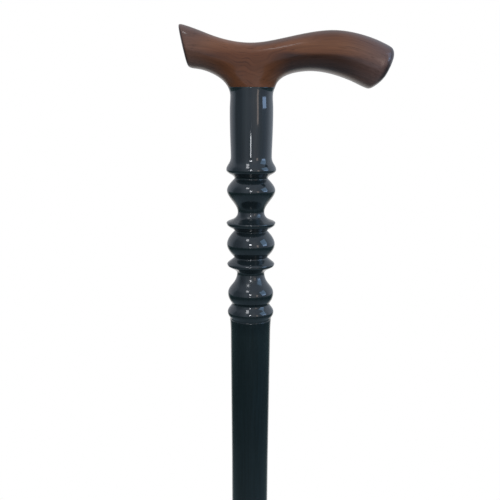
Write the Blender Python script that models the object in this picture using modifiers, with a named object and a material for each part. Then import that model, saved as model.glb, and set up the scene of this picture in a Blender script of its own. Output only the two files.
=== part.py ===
"""Walking cane with a palm handle, a turned column, a plain tapering shaft and a push-on ferrule.

Metres, +Z up the shaft. The origin is the centre of the foot, and the nose of the handle points along -X.
"""
import math
from collections import namedtuple

import bmesh
import bpy
from mathutils import Vector

MM = 0.001

# Clearance between two pieces that seat on or in each other
CLEARANCE = 0.3 * MM
# The ferrule's socket is bored wider than the shaft's tip by this much, so that it draws off freely
FERRULE_CLEARANCE = 0.35 * MM

# Turned pieces: facets round a visible turning and round a hidden one, and how closely a cut is drawn: its
# points are this many times the square root of its height in millimetres, and never fewer than two
TURNING_STEPS = 32
STUD_STEPS = 16
CUT_FINENESS = 1.7
FEWEST_CUT_POINTS = 2

# One lathe cut: its height down the work, the radius that it ends on, and how far along its height the
# curve stays parallel to the axis where it leaves the last cut (lead) and where it ends (settle), as
# shares. A cut with neither is a straight cone, and one that ends with no settle leaves a sharp valley.
# Heights and radii in cuts are millimetres.
Cut = namedtuple("Cut", "feature height radius lead settle")

# Lower shaft
LOWER_SHAFT_LENGTH = 716 * MM
SHAFT_TOP_RADIUS = 12.5 * MM
SHAFT_TIP_RADIUS = 9.0 * MM
SHAFT_TIP_CHAMFER = 1.0 * MM
SHAFT_CUTS = (
    Cut("shoulder below the bottom bead", 10.0, 12.1, 0.10, 0.60),
    Cut("upper taper", 80.0, 11.35, 0.0, 0.0),
)

# Turned column, from the seam under the handle down to the shaft. The flare is turned to the seam's radius
# and then sanded in with the handle, which leaves the seam narrower across the bar.
SEAM_RADIUS = 13.6 * MM
SEAM_HALF_WIDTH = 12.45 * MM
COLUMN_CUTS = (
    Cut("flare under the seam", 4.7, 12.4, 0.0, 0.60),
    Cut("swell", 8.8, 12.7, 0.30, 0.50),
    Cut("stem", 26.2, 12.1, 0.48, 0.15),
    Cut("collar, rising", 7.6, 14.75, 0.52, 0.34),
    Cut("collar, falling", 5.2, 9.8, 0.46, 0.42),
    Cut("urn shoulder", 7.0, 14.35, 0.04, 0.42),
    Cut("urn foot", 13.0, 7.9, 0.35, 0.36),
    Cut("upper flange, hollow side", 6.5, 14.6, 0.82, 0.25),
    Cut("upper flange, rim", 0.75, 14.4, 0.30, 0.30),
    Cut("upper flange, bevel", 3.95, 9.8, 0.36, 0.25),
    Cut("ball, upper half", 8.4, 14.35, 0.06, 0.52),
    Cut("ball, lower half", 7.65, 9.9, 0.49, 0.05),
    Cut("lower flange, top", 4.2, 14.2, 0.23, 0.24),
    Cut("lower flange, rim", 0.8, 14.0, 0.32, 0.28),
    Cut("lower flange, under side", 4.7, 8.25, 0.21, 0.47),
    Cut("vase", 12.7, 13.75, 0.54, 0.38),
    Cut("vase foot", 6.2, 11.4, 0.57, 0.11),
    Cut("bottom bead, rising", 5.4, 13.95, 0.34, 0.42),
    Cut("bottom bead, falling", 4.35, SHAFT_TOP_RADIUS / MM, 0.48, 0.40),
)
COLUMN_LENGTH = sum(cut.height for cut in COLUMN_CUTS) * MM

# Steel studs: a rod with ring grooves that key the glue
STUD_RADIUS = 4.0 * MM
STUD_CHAMFER = 0.8 * MM
STUD_GROOVE_DEPTH = 0.5 * MM
STUD_GROOVE_WIDTH = 1.6 * MM
STUD_GROOVE_PITCH = 9.0 * MM
HANDLE_SOCKET_DEPTH = 17 * MM
COLUMN_TOP_SOCKET_DEPTH = 32 * MM
COLUMN_FOOT_SOCKET_DEPTH = 26 * MM
SHAFT_SOCKET_DEPTH = 34 * MM

# Ferrule: a moulded cup with a lip, grip rings, a belled foot and a ringed tread
FERRULE_HEIGHT = 42 * MM
FERRULE_SOLE = 8.0 * MM
FERRULE_WALL = 2.7 * MM
FERRULE_MOUTH_CHAMFER = 0.6 * MM
LIP_HEIGHT = 4.0 * MM
LIP_PROUD = 1.2 * MM
GRIP_RINGS = 3
GRIP_RING_PITCH = 3.6 * MM
GRIP_RING_PROUD = 0.5 * MM
FOOT_RADIUS = 18.5 * MM
FOOT_BAND_HEIGHT = 5.0 * MM
FOOT_EDGE_CHAMFER = 1.0 * MM
BELL_LEAD = 0.75
BELL_SETTLE = 0.15
TREAD_RINGS = 2
TREAD_PITCH = 5.2 * MM
TREAD_GROOVE_WIDTH = 2.0 * MM
TREAD_GROOVE_DEPTH = 1.4 * MM
TREAD_RIM_WIDTH = 2.6 * MM

# Steel washer that keeps the shaft's tip from cutting through the sole
WASHER_THICKNESS = 1.2 * MM
WASHER_EDGE = 0.3 * MM

# Handle: sections across the bar, each through a point of its top outline and a point of its bottom
# outline, given as distance along the bar from the shaft's axis and height above the seam, with half the
# section's thickness. Millimetres. The first section is the flat cut of the nose.
Section = namedtuple("Section", "part top_x top_z bottom_x bottom_z half_width")
HANDLE_SECTIONS = (
    Section("nose cut", -42.5, 36.0, -36.6, 11.1, 10.2),
    Section("nose", -30.8, 32.0, -28.8, 10.1, 10.9),
    Section("stem, front", -18.3, 27.1, -21.3, 7.3, 11.5),
    Section("saddle", -0.3, 24.0, -0.3, 7.6, 12.2),
    Section("stem, back", 16.7, 27.4, 20.2, 7.7, 13.2),
    Section("arm", 32.7, 31.1, 33.7, 10.0, 14.0),
    Section("palm", 47.7, 32.9, 46.2, 8.0, 14.3),
    Section("arm, drooping", 61.7, 30.5, 57.7, 4.0, 13.8),
    Section("tail", 72.7, 26.8, 64.2, 0.5, 13.2),
    Section("tail end", 80.2, 22.9, 68.3, -0.8, 12.4),
    Section("tail crown", 82.5, 19.1, 77.0, 4.6, 9.6),
)
# The stem grows out of the underside between the first and the last of these sections
STEM_SECTIONS = ("stem, front", "saddle", "stem, back")
# How far a section's shoulders stand out, as a share of its half width and half height (a circle has 0.707)
FULLNESS = 0.80
NOSE_EDGE_CREASE = 0.42
TAIL_EDGE_CREASE = 0.35
# Half the stem's width where it leaves the bar's sides, and its throat just above the seam: an oval that
# lies a little towards the nose
STEM_SHOULDER_HALF_WIDTH = 13.1 * MM
STEM_THROAT_HALF_LENGTH = 15.3 * MM
STEM_THROAT_HALF_WIDTH = 12.7 * MM
STEM_THROAT_HEIGHT = 3.4 * MM
STEM_THROAT_OFFSET = -0.5 * MM
HANDLE_LEVELS = 2
RING_POINTS = 8

# Heights of the joints, stacked up from the foot
WASHER_UNDERSIDE = FERRULE_SOLE + CLEARANCE
SHAFT_TIP_HEIGHT = WASHER_UNDERSIDE + WASHER_THICKNESS + CLEARANCE
SHAFT_TOP_HEIGHT = SHAFT_TIP_HEIGHT + LOWER_SHAFT_LENGTH
COLUMN_FOOT_HEIGHT = SHAFT_TOP_HEIGHT + CLEARANCE
COLUMN_TOP_HEIGHT = COLUMN_FOOT_HEIGHT + COLUMN_LENGTH
SEAM_HEIGHT = COLUMN_TOP_HEIGHT + CLEARANCE
SOCKET_RADIUS = STUD_RADIUS + CLEARANCE


def clear_scene():
    for part in list(bpy.data.objects):
        bpy.data.objects.remove(part, do_unlink=True)


def new_collection(name):
    collection = bpy.data.collections.new(name)
    bpy.context.scene.collection.children.link(collection)
    return collection


def material(name, colour, roughness, metallic=0.0, coat=0.0):
    finish = bpy.data.materials.new(name)
    finish.use_nodes = True
    shader = finish.node_tree.nodes["Principled BSDF"]
    shader.inputs["Base Color"].default_value = (*colour, 1.0)
    shader.inputs["Roughness"].default_value = roughness
    shader.inputs["Metallic"].default_value = metallic
    shader.inputs["Coat Weight"].default_value = coat
    finish.diffuse_color = (*colour, 1.0)
    return finish


def add_part(name, mesh, finish, collection):
    part = bpy.data.objects.new(name, mesh)
    part.data.materials.append(finish)
    collection.objects.link(part)
    return part


def turned(name, profile, steps, finish, collection):
    """Turn a profile of (radius, height) points, which runs down its outer side, round the Z axis."""
    mesh = bpy.data.meshes.new(name)
    shape = bmesh.new()
    verts = [shape.verts.new((radius, 0.0, height)) for radius, height in profile]
    for upper, lower in zip(verts, verts[1:]):
        shape.edges.new((upper, lower))
    shape.to_mesh(mesh)
    shape.free()
    part = add_part(name, mesh, finish, collection)
    screw = part.modifiers.new("Turning", "SCREW")
    screw.axis = "Z"
    screw.steps = steps
    screw.render_steps = steps
    screw.use_merge_vertices = True
    screw.merge_threshold = 0.0001
    screw.use_smooth_shade = True
    return part


def cut_points(radius, height, cut):
    """Points of one cut, (radius, height) going down, without the one it starts from."""
    depth = cut.height * MM
    end = cut.radius * MM
    if cut.lead == 0.0 and cut.settle == 0.0:
        return [(end, height - depth)]
    count = max(FEWEST_CUT_POINTS, round(CUT_FINENESS * math.sqrt(cut.height)))
    points = []
    for number in range(1, count + 1):
        t = number / count
        weights = ((1 - t) ** 3, 3 * t * (1 - t) ** 2, 3 * t ** 2 * (1 - t), t ** 3)
        radii = (radius, radius, end, end)
        drops = (0.0, cut.lead * depth, depth * (1 - cut.settle), depth)
        points.append((
            sum(weight * value for weight, value in zip(weights, radii)),
            height - sum(weight * value for weight, value in zip(weights, drops)),
        ))
    return points


def follow_cuts(radius, height, cuts):
    """The profile of a run of cuts that starts at the given radius and height."""
    points = [(radius, height)]
    for cut in cuts:
        points += cut_points(*points[-1], cut)
    return points


def sand_flare(column):
    """Slim the flare across the bar, from nothing at its foot to the seam's half width at its top."""
    foot_radius, foot_height = follow_cuts(SEAM_RADIUS, 0.0, COLUMN_CUTS[:1])[-1]
    slim = (SEAM_HALF_WIDTH - foot_radius) / (SEAM_RADIUS - foot_radius)
    turning = column.evaluated_get(bpy.context.evaluated_depsgraph_get())
    column.data = bpy.data.meshes.new_from_object(turning)
    column.modifiers.clear()
    for vert in column.data.vertices:
        radius = math.hypot(vert.co.x, vert.co.y)
        if radius > foot_radius and vert.co.z > foot_height:
            vert.co.y *= (foot_radius + (radius - foot_radius) * slim) / radius


def make_column(finish, collection):
    """The turned column, with a blind socket for a stud in each end."""
    outside = follow_cuts(SEAM_RADIUS, 0.0, COLUMN_CUTS)
    foot = outside[-1][1]
    profile = [
        (0.0, -COLUMN_TOP_SOCKET_DEPTH),
        (SOCKET_RADIUS, -COLUMN_TOP_SOCKET_DEPTH),
        (SOCKET_RADIUS, 0.0),
        *outside,
        (SOCKET_RADIUS, foot),
        (SOCKET_RADIUS, foot + COLUMN_FOOT_SOCKET_DEPTH),
        (0.0, foot + COLUMN_FOOT_SOCKET_DEPTH),
    ]
    column = turned("turned_column", profile, TURNING_STEPS, finish, collection)
    sand_flare(column)
    column.location.z = COLUMN_TOP_HEIGHT
    return column


def make_lower_shaft(finish, collection):
    """The plain shaft, which tapers from the column down to its chamfered tip in the ferrule."""
    outside = follow_cuts(SHAFT_TOP_RADIUS, 0.0, SHAFT_CUTS)
    tip = -LOWER_SHAFT_LENGTH
    profile = [
        (0.0, -SHAFT_SOCKET_DEPTH),
        (SOCKET_RADIUS, -SHAFT_SOCKET_DEPTH),
        (SOCKET_RADIUS, 0.0),
        *outside,
        (SHAFT_TIP_RADIUS, tip + SHAFT_TIP_CHAMFER),
        (SHAFT_TIP_RADIUS - SHAFT_TIP_CHAMFER, tip),
        (0.0, tip),
    ]
    shaft = turned("lower_shaft", profile, TURNING_STEPS, finish, collection)
    shaft.location.z = SHAFT_TOP_HEIGHT
    return shaft


def make_stud(name, length, middle, finish, collection):
    """A chamfered rod with ring grooves, centred on the given height."""
    end = length / 2
    grooves = int((length - 2 * STUD_CHAMFER - STUD_GROOVE_WIDTH) / STUD_GROOVE_PITCH)
    profile = [(0.0, end), (STUD_RADIUS - STUD_CHAMFER, end), (STUD_RADIUS, end - STUD_CHAMFER)]
    for number in range(grooves):
        centre = (0.5 * (grooves - 1) - number) * STUD_GROOVE_PITCH
        bottom = STUD_RADIUS - STUD_GROOVE_DEPTH
        profile += [
            (STUD_RADIUS, centre + STUD_GROOVE_WIDTH / 2),
            (bottom, centre + STUD_GROOVE_WIDTH / 4),
            (bottom, centre - STUD_GROOVE_WIDTH / 4),
            (STUD_RADIUS, centre - STUD_GROOVE_WIDTH / 2),
        ]
    profile += [(STUD_RADIUS, STUD_CHAMFER - end), (STUD_RADIUS - STUD_CHAMFER, -end), (0.0, -end)]
    stud = turned(name, profile, STUD_STEPS, finish, collection)
    stud.location.z = middle
    return stud


def joint_stud(name, depth_above, face_above, depth_below, face_below, finish, collection):
    """A stud that fills two facing sockets, short of each floor by the clearance."""
    top = face_above + depth_above - CLEARANCE
    bottom = face_below - depth_below + CLEARANCE
    return make_stud(name, top - bottom, (top + bottom) / 2, finish, collection)


def shaft_radius_at(height):
    """The lower shaft's radius at a height above the foot, on its long taper."""
    taper_top = SHAFT_TOP_HEIGHT - sum(cut.height for cut in SHAFT_CUTS) * MM
    taper_foot = SHAFT_TIP_HEIGHT + SHAFT_TIP_CHAMFER
    share = (height - taper_foot) / (taper_top - taper_foot)
    return SHAFT_TIP_RADIUS + share * (SHAFT_CUTS[-1].radius * MM - SHAFT_TIP_RADIUS)


def make_ferrule(finish, collection, pull_point):
    """The rubber cup on the shaft's tip, with its socket, grip rings, belled foot and tread."""
    mouth_radius = shaft_radius_at(FERRULE_HEIGHT) + FERRULE_CLEARANCE
    floor_radius = SHAFT_TIP_RADIUS + FERRULE_CLEARANCE
    body_radius = mouth_radius + FERRULE_WALL
    lip_radius = body_radius + LIP_PROUD
    lip_foot = FERRULE_HEIGHT - LIP_HEIGHT
    profile = [
        (0.0, FERRULE_SOLE),
        (floor_radius, FERRULE_SOLE),
        (mouth_radius, FERRULE_HEIGHT - FERRULE_MOUTH_CHAMFER),
        (mouth_radius + FERRULE_MOUTH_CHAMFER, FERRULE_HEIGHT),
        (lip_radius - LIP_PROUD, FERRULE_HEIGHT),
        (lip_radius, FERRULE_HEIGHT - LIP_PROUD),
        (lip_radius, lip_foot + LIP_PROUD),
        (body_radius, lip_foot),
    ]
    for number in range(GRIP_RINGS):
        crest = lip_foot - (number + 0.5) * GRIP_RING_PITCH - GRIP_RING_PROUD
        profile += [
            (body_radius, crest + 2 * GRIP_RING_PROUD),
            (body_radius + GRIP_RING_PROUD, crest),
            (body_radius, crest - 2 * GRIP_RING_PROUD),
        ]
    bell_top = lip_foot - GRIP_RINGS * GRIP_RING_PITCH - GRIP_RING_PROUD
    bell = Cut("bell", (bell_top - FOOT_BAND_HEIGHT) / MM, FOOT_RADIUS / MM, BELL_LEAD, BELL_SETTLE)
    profile += follow_cuts(body_radius, bell_top, (bell,))
    profile += [(FOOT_RADIUS, FOOT_EDGE_CHAMFER), (FOOT_RADIUS - FOOT_EDGE_CHAMFER, 0.0)]
    for number in range(TREAD_RINGS):
        outer = FOOT_RADIUS - FOOT_EDGE_CHAMFER - TREAD_RIM_WIDTH - number * TREAD_PITCH
        inner = outer - TREAD_GROOVE_WIDTH
        profile += [(outer, 0.0), (outer, TREAD_GROOVE_DEPTH), (inner, TREAD_GROOVE_DEPTH), (inner, 0.0)]
    profile.append((0.0, 0.0))
    profile = [(radius, height - SHAFT_TIP_HEIGHT) for radius, height in profile]
    ferrule = turned("ferrule", profile, TURNING_STEPS, finish, collection)
    ferrule.parent = pull_point
    return ferrule


def make_washer(finish, collection, pull_point):
    """The flat steel disc on the floor of the ferrule's socket."""
    radius = SHAFT_TIP_RADIUS + FERRULE_CLEARANCE - CLEARANCE
    profile = [
        (0.0, WASHER_THICKNESS),
        (radius - WASHER_EDGE, WASHER_THICKNESS),
        (radius, WASHER_THICKNESS - WASHER_EDGE),
        (radius, WASHER_EDGE),
        (radius - WASHER_EDGE, 0.0),
        (0.0, 0.0),
    ]
    washer = turned("ferrule_washer", profile, TURNING_STEPS, finish, collection)
    washer.parent = pull_point
    washer.location.z = WASHER_UNDERSIDE - SHAFT_TIP_HEIGHT
    return washer


def cage_growth(shoulder):
    """How far a ring's points stand outside the smooth surface that they shape."""
    return 6.0 / (4.0 + 2.0 * shoulder)


def section_ring(shape, section):
    """The cage points round one section of the bar, starting on top and turning towards +Y."""
    top = Vector((section.top_x, 0.0, section.top_z)) * MM
    bottom = Vector((section.bottom_x, 0.0, section.bottom_z)) * MM
    centre = (top + bottom) / 2
    grow = cage_growth(FULLNESS)
    rise = (top - bottom) / 2 * grow
    side = Vector((0.0, section.half_width * MM * grow, 0.0))
    corners = (
        (0.0, 1.0), (FULLNESS, FULLNESS), (1.0, 0.0), (FULLNESS, -FULLNESS),
        (0.0, -1.0), (-FULLNESS, -FULLNESS), (-1.0, 0.0), (-FULLNESS, FULLNESS),
    )
    return [shape.verts.new(centre + side * across + rise * up) for across, up in corners]


def stem_ring(shape, half_length, half_width, height, offset=0.0):
    """The cage points round the stem, starting at the nose side and turning through +Y."""
    grow = cage_growth(math.cos(math.tau / RING_POINTS))
    ring = []
    for number in range(RING_POINTS):
        angle = math.pi - number * math.tau / RING_POINTS
        along = offset + half_length * grow * math.cos(angle)
        ring.append(shape.verts.new((along, half_width * grow * math.sin(angle), height)))
    return ring


def skin(shape, first, second, skipped=()):
    """Faces between two rings of points that run the same way round."""
    count = len(first)
    for number in range(count):
        if number not in skipped:
            after = (number + 1) % count
            shape.faces.new((first[number], first[after], second[after], second[number]))


def crease_ring(shape, layer, ring, amount):
    for number, vert in enumerate(ring):
        shape.edges.get((vert, ring[(number + 1) % len(ring)]))[layer] = amount


def make_handle(finish, collection, cutters):
    """The handle: a bar of sections with the stem grown from its underside, and the stud's socket."""
    shape = bmesh.new()
    crease = shape.edges.layers.float.new("crease_edge")
    rings = [section_ring(shape, section) for section in HANDLE_SECTIONS]
    parts = [section.part for section in HANDLE_SECTIONS]
    stem_front, stem_middle, stem_back = (parts.index(name) for name in STEM_SECTIONS)
    under_side = (3, 4)
    for number, (ring, following) in enumerate(zip(rings, rings[1:])):
        stem_grows_here = stem_front <= number < stem_back
        skin(shape, following, ring, under_side if stem_grows_here else ())
    front, middle, back = rings[stem_front], rings[stem_middle], rings[stem_back]
    mouth = [front[4], front[3], middle[3], back[3], back[4], back[5], middle[5], front[5]]
    shape.verts.remove(middle[4])
    middle[3].co.y = STEM_SHOULDER_HALF_WIDTH
    middle[5].co.y = -STEM_SHOULDER_HALF_WIDTH
    throat = stem_ring(
        shape, STEM_THROAT_HALF_LENGTH, STEM_THROAT_HALF_WIDTH, STEM_THROAT_HEIGHT, STEM_THROAT_OFFSET)
    seam = stem_ring(shape, SEAM_RADIUS, SEAM_HALF_WIDTH, 0.0)
    skin(shape, mouth, throat)
    skin(shape, throat, seam)
    shape.faces.new(rings[0])
    shape.faces.new(list(reversed(rings[-1])))
    shape.faces.new(seam)
    crease_ring(shape, crease, rings[0], NOSE_EDGE_CREASE)
    crease_ring(shape, crease, rings[-2], TAIL_EDGE_CREASE)
    crease_ring(shape, crease, seam, 1.0)
    bmesh.ops.recalc_face_normals(shape, faces=shape.faces)
    mesh = bpy.data.meshes.new("handle")
    shape.to_mesh(mesh)
    shape.free()
    mesh.shade_smooth()

    handle = add_part("handle", mesh, finish, collection)
    handle.location.z = SEAM_HEIGHT
    smooth = handle.modifiers.new("Smooth form", "SUBSURF")
    smooth.levels = HANDLE_LEVELS
    smooth.render_levels = HANDLE_LEVELS

    bpy.ops.mesh.primitive_cylinder_add(
        vertices=STUD_STEPS, radius=SOCKET_RADIUS, depth=2 * HANDLE_SOCKET_DEPTH,
        location=(0.0, 0.0, SEAM_HEIGHT))
    cutter = bpy.context.object
    cutter.name = "handle_socket_cutter"
    cutter.hide_render = True
    cutter.display_type = "WIRE"
    for home in list(cutter.users_collection):
        home.objects.unlink(cutter)
    cutters.objects.link(cutter)
    bore = handle.modifiers.new("Stud socket", "BOOLEAN")
    bore.operation = "DIFFERENCE"
    bore.solver = "EXACT"
    bore.object = cutter
    return handle


def build():
    clear_scene()
    parts = new_collection("walking_cane")
    cutters = new_collection("cutters")
    walnut = material("lacquered_walnut", (0.145, 0.062, 0.036), 0.32, coat=0.8)
    black = material("black_lacquer", (0.012, 0.014, 0.017), 0.25, coat=1.0)
    steel = material("zinc_plated_steel", (0.55, 0.56, 0.58), 0.38, metallic=1.0)
    rubber = material("black_rubber", (0.018, 0.018, 0.018), 0.75)

    make_handle(walnut, parts, cutters)
    make_column(black, parts)
    make_lower_shaft(black, parts)
    joint_stud("handle_stud", HANDLE_SOCKET_DEPTH, SEAM_HEIGHT,
               COLUMN_TOP_SOCKET_DEPTH, COLUMN_TOP_HEIGHT, steel, parts)
    joint_stud("shaft_stud", COLUMN_FOOT_SOCKET_DEPTH, COLUMN_FOOT_HEIGHT,
               SHAFT_SOCKET_DEPTH, SHAFT_TOP_HEIGHT, steel, parts)

    # The ferrule draws off down the shaft, so its pieces hang from a point on the shaft's axis at the tip
    pull_point = bpy.data.objects.new("ferrule_pull", None)
    pull_point.location.z = SHAFT_TIP_HEIGHT
    parts.objects.link(pull_point)
    make_ferrule(rubber, parts, pull_point)
    make_washer(steel, parts, pull_point)


build()
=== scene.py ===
"""Looks of a walking cane: walnut palm handle, black turned column, plain shaft and rubber ferrule."""
import math
from collections import namedtuple

import bmesh
import bpy
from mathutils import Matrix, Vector


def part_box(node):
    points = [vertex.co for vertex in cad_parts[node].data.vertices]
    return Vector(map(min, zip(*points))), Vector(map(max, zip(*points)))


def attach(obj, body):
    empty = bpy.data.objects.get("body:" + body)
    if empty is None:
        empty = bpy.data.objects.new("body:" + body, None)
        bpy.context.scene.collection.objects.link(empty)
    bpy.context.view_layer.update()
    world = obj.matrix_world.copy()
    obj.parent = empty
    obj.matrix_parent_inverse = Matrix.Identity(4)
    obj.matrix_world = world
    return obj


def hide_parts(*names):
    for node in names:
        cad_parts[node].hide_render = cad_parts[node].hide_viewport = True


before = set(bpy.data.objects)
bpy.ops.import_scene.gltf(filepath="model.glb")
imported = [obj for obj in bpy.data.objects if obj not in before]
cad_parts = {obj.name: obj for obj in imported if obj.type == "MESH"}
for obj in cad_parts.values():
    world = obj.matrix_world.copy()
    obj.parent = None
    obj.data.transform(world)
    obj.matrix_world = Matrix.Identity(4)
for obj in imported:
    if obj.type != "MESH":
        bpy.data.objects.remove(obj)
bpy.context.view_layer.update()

# Turned column: a blank of close-grained hardwood, turned between centres into a stem, beads, an urn,
# a ball and a vase, then filled, sprayed black and polished. It is glued to the handle and to the shaft
# on studs, and its sockets stay open inside so that the studs have room.
MM = 0.001
SEAM_RADIUS = 13.6 * MM
SEAM_HALF_WIDTH = 12.45 * MM
SHAFT_TOP_RADIUS = 12.5 * MM
JOINT_GAP = 0.3 * MM
GLUE_LINE = 0.02 * MM
STUD_SOCKET_RADIUS = 4.3 * MM
COLUMN_TOP_SOCKET_DEPTH = 32 * MM
COLUMN_FOOT_SOCKET_DEPTH = 26 * MM
TURNING_STEPS = 128
AXIS_WELD = 0.02 * MM
# One lathe cut: its height down the work and the radius that it ends on, in millimetres, and how far along
# its height the curve stays upright where it starts (lead) and where it ends (settle), as shares. A cut
# with neither is a straight cone.
Cut = namedtuple("Cut", "feature height radius lead settle")
COLUMN_CUTS = (
    Cut("flare under the seam", 4.7, 12.4, 0.0, 0.60),
    Cut("swell", 8.8, 12.7, 0.30, 0.50),
    Cut("stem", 26.2, 12.1, 0.48, 0.15),
    Cut("collar, rising", 7.6, 14.75, 0.52, 0.34),
    Cut("collar, falling", 5.2, 9.8, 0.46, 0.42),
    Cut("urn shoulder", 7.0, 14.35, 0.04, 0.42),
    Cut("urn foot", 13.0, 7.9, 0.35, 0.36),
    Cut("upper flange, hollow side", 6.5, 14.6, 0.82, 0.25),
    Cut("upper flange, rim", 0.75, 14.4, 0.30, 0.30),
    Cut("upper flange, bevel", 3.95, 9.8, 0.36, 0.25),
    Cut("ball, upper half", 8.4, 14.35, 0.06, 0.52),
    Cut("ball, lower half", 7.65, 9.9, 0.49, 0.05),
    Cut("lower flange, top", 4.2, 14.2, 0.23, 0.24),
    Cut("lower flange, rim", 0.8, 14.0, 0.32, 0.28),
    Cut("lower flange, under side", 4.7, 8.25, 0.21, 0.47),
    Cut("vase", 12.7, 13.75, 0.54, 0.38),
    Cut("vase foot", 6.2, 11.4, 0.57, 0.11),
    Cut("bottom bead, rising", 5.4, 13.95, 0.34, 0.42),
    Cut("bottom bead, falling", 4.35, SHAFT_TOP_RADIUS / MM, 0.48, 0.40),
)
CUT_SPACING = 0.45
FEWEST_CUT_POINTS = 3


def cut_points(radius, height, cut, spacing=CUT_SPACING):
    """Points of a lathe cut going down, (radius, height), one about every so many mm, without its first."""
    end, depth = cut.radius * MM, cut.height * MM
    radii = (radius, radius, end, end)
    drops = (0.0, cut.lead * depth, depth * (1 - cut.settle), depth)
    if cut.lead == 0.0 and cut.settle == 0.0:
        radii = (radius, radius + (end - radius) / 3, radius + (end - radius) * 2 / 3, end)
        drops = (0.0, depth / 3, depth * 2 / 3, depth)
    points = []
    count = max(FEWEST_CUT_POINTS, round(cut.height / spacing))
    for number in range(1, count + 1):
        t = number / count
        weights = ((1 - t) ** 3, 3 * t * (1 - t) ** 2, 3 * t ** 2 * (1 - t), t ** 3)
        points.append((
            sum(weight * value for weight, value in zip(weights, radii)),
            height - sum(weight * value for weight, value in zip(weights, drops)),
        ))
    return points


def follow_cuts(radius, height, cuts):
    """The profile of a run of cuts, one below the other."""
    points = [(radius, height)]
    for cut in cuts:
        points += cut_points(*points[-1], cut)
    return points


def place_piece(name, shape):
    """A new piece of that name with the finished shape as its mesh."""
    mesh = bpy.data.meshes.new(name)
    shape.to_mesh(mesh)
    shape.free()
    piece = bpy.data.objects.new(name, mesh)
    bpy.context.scene.collection.objects.link(piece)
    return piece


def turn(name, profile, finish, steps=TURNING_STEPS):
    """A piece turned from a profile of (radius, height) points that runs down its outer side."""
    shape = bmesh.new()
    verts = [shape.verts.new((radius, 0.0, height)) for radius, height in profile]
    for upper, lower in zip(verts, verts[1:]):
        shape.edges.new((upper, lower))
    piece = place_piece(name, shape)
    piece.data.materials.append(finish)
    screw = piece.modifiers.new("Turning", "SCREW")
    screw.axis = "Z"
    screw.steps = steps
    screw.render_steps = steps
    screw.use_merge_vertices = True
    screw.merge_threshold = AXIS_WELD
    screw.use_smooth_shade = True
    return piece


def set_mesh(piece):
    """The piece with what its modifiers make turned into its own faces."""
    evaluated = piece.evaluated_get(bpy.context.evaluated_depsgraph_get())
    mesh = bpy.data.meshes.new_from_object(evaluated)
    mesh.name = piece.name
    piece.modifiers.clear()
    piece.data = mesh
    return piece


def fair_to_handle(piece, valley_radius, valley_height):
    """The flare above its valley is sanded in with the handle, which leaves it slimmer across the bar."""
    slim = (SEAM_HALF_WIDTH - valley_radius) / (SEAM_RADIUS - valley_radius)
    for vert in piece.data.vertices:
        radius = math.hypot(vert.co.x, vert.co.y)
        if radius > valley_radius and vert.co.z > valley_height:
            vert.co.y *= (valley_radius + (radius - valley_radius) * slim) / radius


def stands_for(piece, node, body):
    """The piece takes a CAD node's place and rides on its body."""
    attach(piece, body)
    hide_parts(node)


# Black nitrocellulose lacquer, sprayed on filled hardwood: a deep black with a hard gloss that mirrors the
# room, wavy from the lathe, best polished on the crests, with grain that just shows through. Real orange
# peel is about 1 mm wide and such grain 0.3 mm, and both are drawn coarser here, so that they show.
LACQUER_TONES = ((0.35, "#10181a"), (0.70, "#151f22"))
LACQUER_ROUGHNESS = (0.38, 0.50)
GRAIN_LINE_WIDTH = 0.9 * MM
GRAIN_LINE_DEPTH = 0.004 * MM
GRAIN_LINE_STRETCH = 0.03
ORANGE_PEEL_WIDTH = 2.2 * MM
ORANGE_PEEL_DEPTH = 0.0015 * MM
LATHE_WAVE_WIDTH = 14 * MM
LATHE_WAVE_DEPTH = 0.035 * MM
VALLEY_RADIUS = 9.5 * MM
VALLEY_ROUGHNESS = 0.20
CREST_RADIUS = 12.0 * MM
CREST_ROUGHNESS = 0.06


def srgb(code):
    """A linear colour from an sRGB hex code."""
    channels = [int(code[place:place + 2], 16) / 255 for place in (1, 3, 5)]
    return [c / 12.92 if c <= 0.04045 else ((c + 0.055) / 1.055) ** 2.4 for c in channels] + [1.0]


def tone_stops(tones, start=0.0, end=1.0):
    """Ramp stops from pairs of a place and a hex code, with the places counted from start to end."""
    return [((place - start) / (end - start), srgb(code)) for place, code in tones]


def add_node(tree, kind, inputs=None, stops=(), **settings):
    """The outputs of a new node, with its settings and ramp stops made and its inputs linked or filled in."""
    node = tree.nodes.new(kind)
    for name, value in settings.items():
        setattr(node, name, value)
    for name, value in (inputs or {}).items():
        if isinstance(value, bpy.types.NodeSocket):
            tree.links.new(value, node.inputs[name])
        else:
            node.inputs[name].default_value = value
    if stops:
        ramp = node.color_ramp.elements
        ramp.remove(ramp[1])
        ramp[0].position, ramp[0].color = stops[0]
        for position, colour in stops[1:]:
            ramp.new(position).color = colour
    return node.outputs


def new_material(name):
    """A material with an empty node tree, and that tree."""
    made = bpy.data.materials.new(name)
    made.use_nodes = True
    made.node_tree.nodes.clear()
    return made, made.node_tree


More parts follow.
